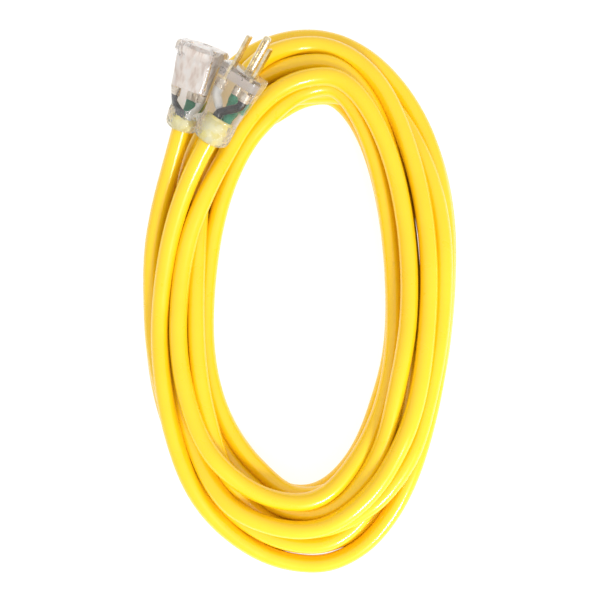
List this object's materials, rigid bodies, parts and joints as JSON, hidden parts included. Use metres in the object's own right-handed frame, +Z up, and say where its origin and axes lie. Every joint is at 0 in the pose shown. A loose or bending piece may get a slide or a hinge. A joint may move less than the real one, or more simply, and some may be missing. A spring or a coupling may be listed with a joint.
{
  "type": "extension cord",
  "caption": "Coiled outdoor extension cord with a clear moulded three-pin plug and a clear lighted connector lying on the coil.",
  "frame": {"origin": "centre of the coil's footprint on the floor it lies on", "axes": "+Z up, +Y along the oval coil's length towards the arc that the plug and connector lie on"},
  "size_m": [0.1886, 0.3264, 0.0788],
  "materials": {
    "cord_yellow": "glossy PVC jacket",
    "clear_plastic": "clear glossy PVC",
    "inner_block": "pale translucent",
    "blade_brass": "bright, lightly plated",
    "contact_brass": "bright",
    "crimp_metal": "tinned",
    "copper": "bare stranded copper",
    "insulation_black": "semi-gloss",
    "insulation_white": "semi-gloss",
    "insulation_green": "semi-gloss",
    "lamp_glass": "clear glass",
    "lamp_metal": "nickel wire",
    "resistor_body": "coated film resistor"
  },
  "bodies": {
    "root": {"cord_coil": "cord_yellow", "plug_lead": "cord_yellow", "connector_lead": "cord_yellow", "plug_body": "clear_plastic", "plug_bridge": "inner_block", "plug_hot_blade": "blade_brass", "plug_neutral_blade": "blade_brass", "plug_ground_pin": "blade_brass", "plug_hot_crimp": "crimp_metal", "plug_neutral_crimp": "crimp_metal", "plug_ground_crimp": "crimp_metal", "plug_copper_ends": "copper", "plug_hot_conductor": "insulation_black", "plug_neutral_conductor": "insulation_white", "plug_ground_conductor": "insulation_green", "plug_jacket_end": "cord_yellow", "connector_body": "clear_plastic", "connector_insert": "inner_block", "connector_hot_contact": "contact_brass", "connector_neutral_contact": "contact_brass", "connector_ground_contact": "contact_brass", "connector_hot_crimp": "crimp_metal", "connector_neutral_crimp": "crimp_metal", "connector_ground_crimp": "crimp_metal", "connector_copper_ends": "copper", "connector_hot_conductor": "insulation_black", "connector_neutral_conductor": "insulation_white", "connector_ground_conductor": "insulation_green", "connector_jacket_end": "cord_yellow", "connector_lamp_glass": "lamp_glass", "connector_lamp_leads": "lamp_metal", "connector_lamp_resistor": "resistor_body"}
  },
  "joints": []
}
